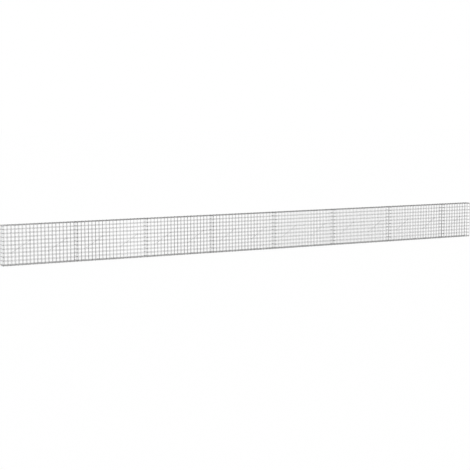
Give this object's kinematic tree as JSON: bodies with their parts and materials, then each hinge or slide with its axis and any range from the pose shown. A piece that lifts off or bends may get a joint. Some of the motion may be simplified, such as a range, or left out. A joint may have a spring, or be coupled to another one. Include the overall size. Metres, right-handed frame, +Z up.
{
  "type": "gabion fence",
  "caption": "Empty gabion fence of welded wire mesh: a long narrow basket in bays with hooked-in mesh walls between the bays, hooked cross ties and hinged mesh lids, to be filled with stone.",
  "frame": {"origin": "on the ground under the middle of the basket", "axes": "+X along the fence to the right, +Y from the front face to the back, +Z up"},
  "size_m": [7.514, 0.1216, 0.5224],
  "materials": {
    "mesh_wire": "galvanised, matt",
    "binding_wire": "galvanised, satin"
  },
  "bodies": {
    "basket": {"front_panel_1": "mesh_wire", "front_panel_2": "mesh_wire", "front_panel_3": "mesh_wire", "front_panel_4": "mesh_wire", "front_panel_5": "mesh_wire", "front_panel_6": "mesh_wire", "front_panel_7": "mesh_wire", "front_panel_8": "mesh_wire", "back_panel_1": "mesh_wire", "back_panel_2": "mesh_wire", "back_panel_3": "mesh_wire", "back_panel_4": "mesh_wire", "back_panel_5": "mesh_wire", "back_panel_6": "mesh_wire", "back_panel_7": "mesh_wire", "back_panel_8": "mesh_wire", "base_panel_1": "mesh_wire", "base_panel_2": "mesh_wire", "base_panel_3": "mesh_wire", "base_panel_4": "mesh_wire", "base_panel_5": "mesh_wire", "base_panel_6": "mesh_wire", "base_panel_7": "mesh_wire", "base_panel_8": "mesh_wire", "partition_1": "mesh_wire", "partition_2": "mesh_wire", "partition_3": "mesh_wire", "partition_4": "mesh_wire", "partition_5": "mesh_wire", "partition_6": "mesh_wire", "partition_7": "mesh_wire", "left_end_panel": "mesh_wire", "right_end_panel": "mesh_wire", "cross_ties": "binding_wire", "base_rings": "binding_wire", "hinge_rings": "binding_wire"},
    "lid_1_body": {"lid_1": "mesh_wire"},
    "lid_2_body": {"lid_2": "mesh_wire"},
    "lid_3_body": {"lid_3": "mesh_wire"},
    "lid_4_body": {"lid_4": "mesh_wire"},
    "lid_5_body": {"lid_5": "mesh_wire"},
    "lid_6_body": {"lid_6": "mesh_wire"},
    "lid_7_body": {"lid_7": "mesh_wire"},
    "lid_8_body": {"lid_8": "mesh_wire"}
  },
  "joints": [
    {"name": "lid_1_hinge", "type": "hinge", "parent": "basket", "child": "lid_1_body", "pos_m": [-3.25, 0.05, 0.51615], "axis": [-1, 0, 0], "range_deg": [0, 90]},
    {"name": "lid_2_hinge", "type": "hinge", "parent": "basket", "child": "lid_2_body", "pos_m": [-2.25, 0.05, 0.51615], "axis": [-1, 0, 0], "range_deg": [0, 90]},
    {"name": "lid_3_hinge", "type": "hinge", "parent": "basket", "child": "lid_3_body", "pos_m": [-1.25, 0.05, 0.51615], "axis": [-1, 0, 0], "range_deg": [0, 90]},
    {"name": "lid_4_hinge", "type": "hinge", "parent": "basket", "child": "lid_4_body", "pos_m": [-0.25, 0.05, 0.51615], "axis": [-1, 0, 0], "range_deg": [0, 90]},
    {"name": "lid_5_hinge", "type": "hinge", "parent": "basket", "child": "lid_5_body", "pos_m": [0.75, 0.05, 0.51615], "axis": [-1, 0, 0], "range_deg": [0, 90]},
    {"name": "lid_6_hinge", "type": "hinge", "parent": "basket", "child": "lid_6_body", "pos_m": [1.75, 0.05, 0.51615], "axis": [-1, 0, 0], "range_deg": [0, 90]},
    {"name": "lid_7_hinge", "type": "hinge", "parent": "basket", "child": "lid_7_body", "pos_m": [2.75, 0.05, 0.51615], "axis": [-1, 0, 0], "range_deg": [0, 90]},
    {"name": "lid_8_hinge", "type": "hinge", "parent": "basket", "child": "lid_8_body", "pos_m": [3.5, 0.05, 0.51615], "axis": [-1, 0, 0], "range_deg": [0, 90]}
  ]
}
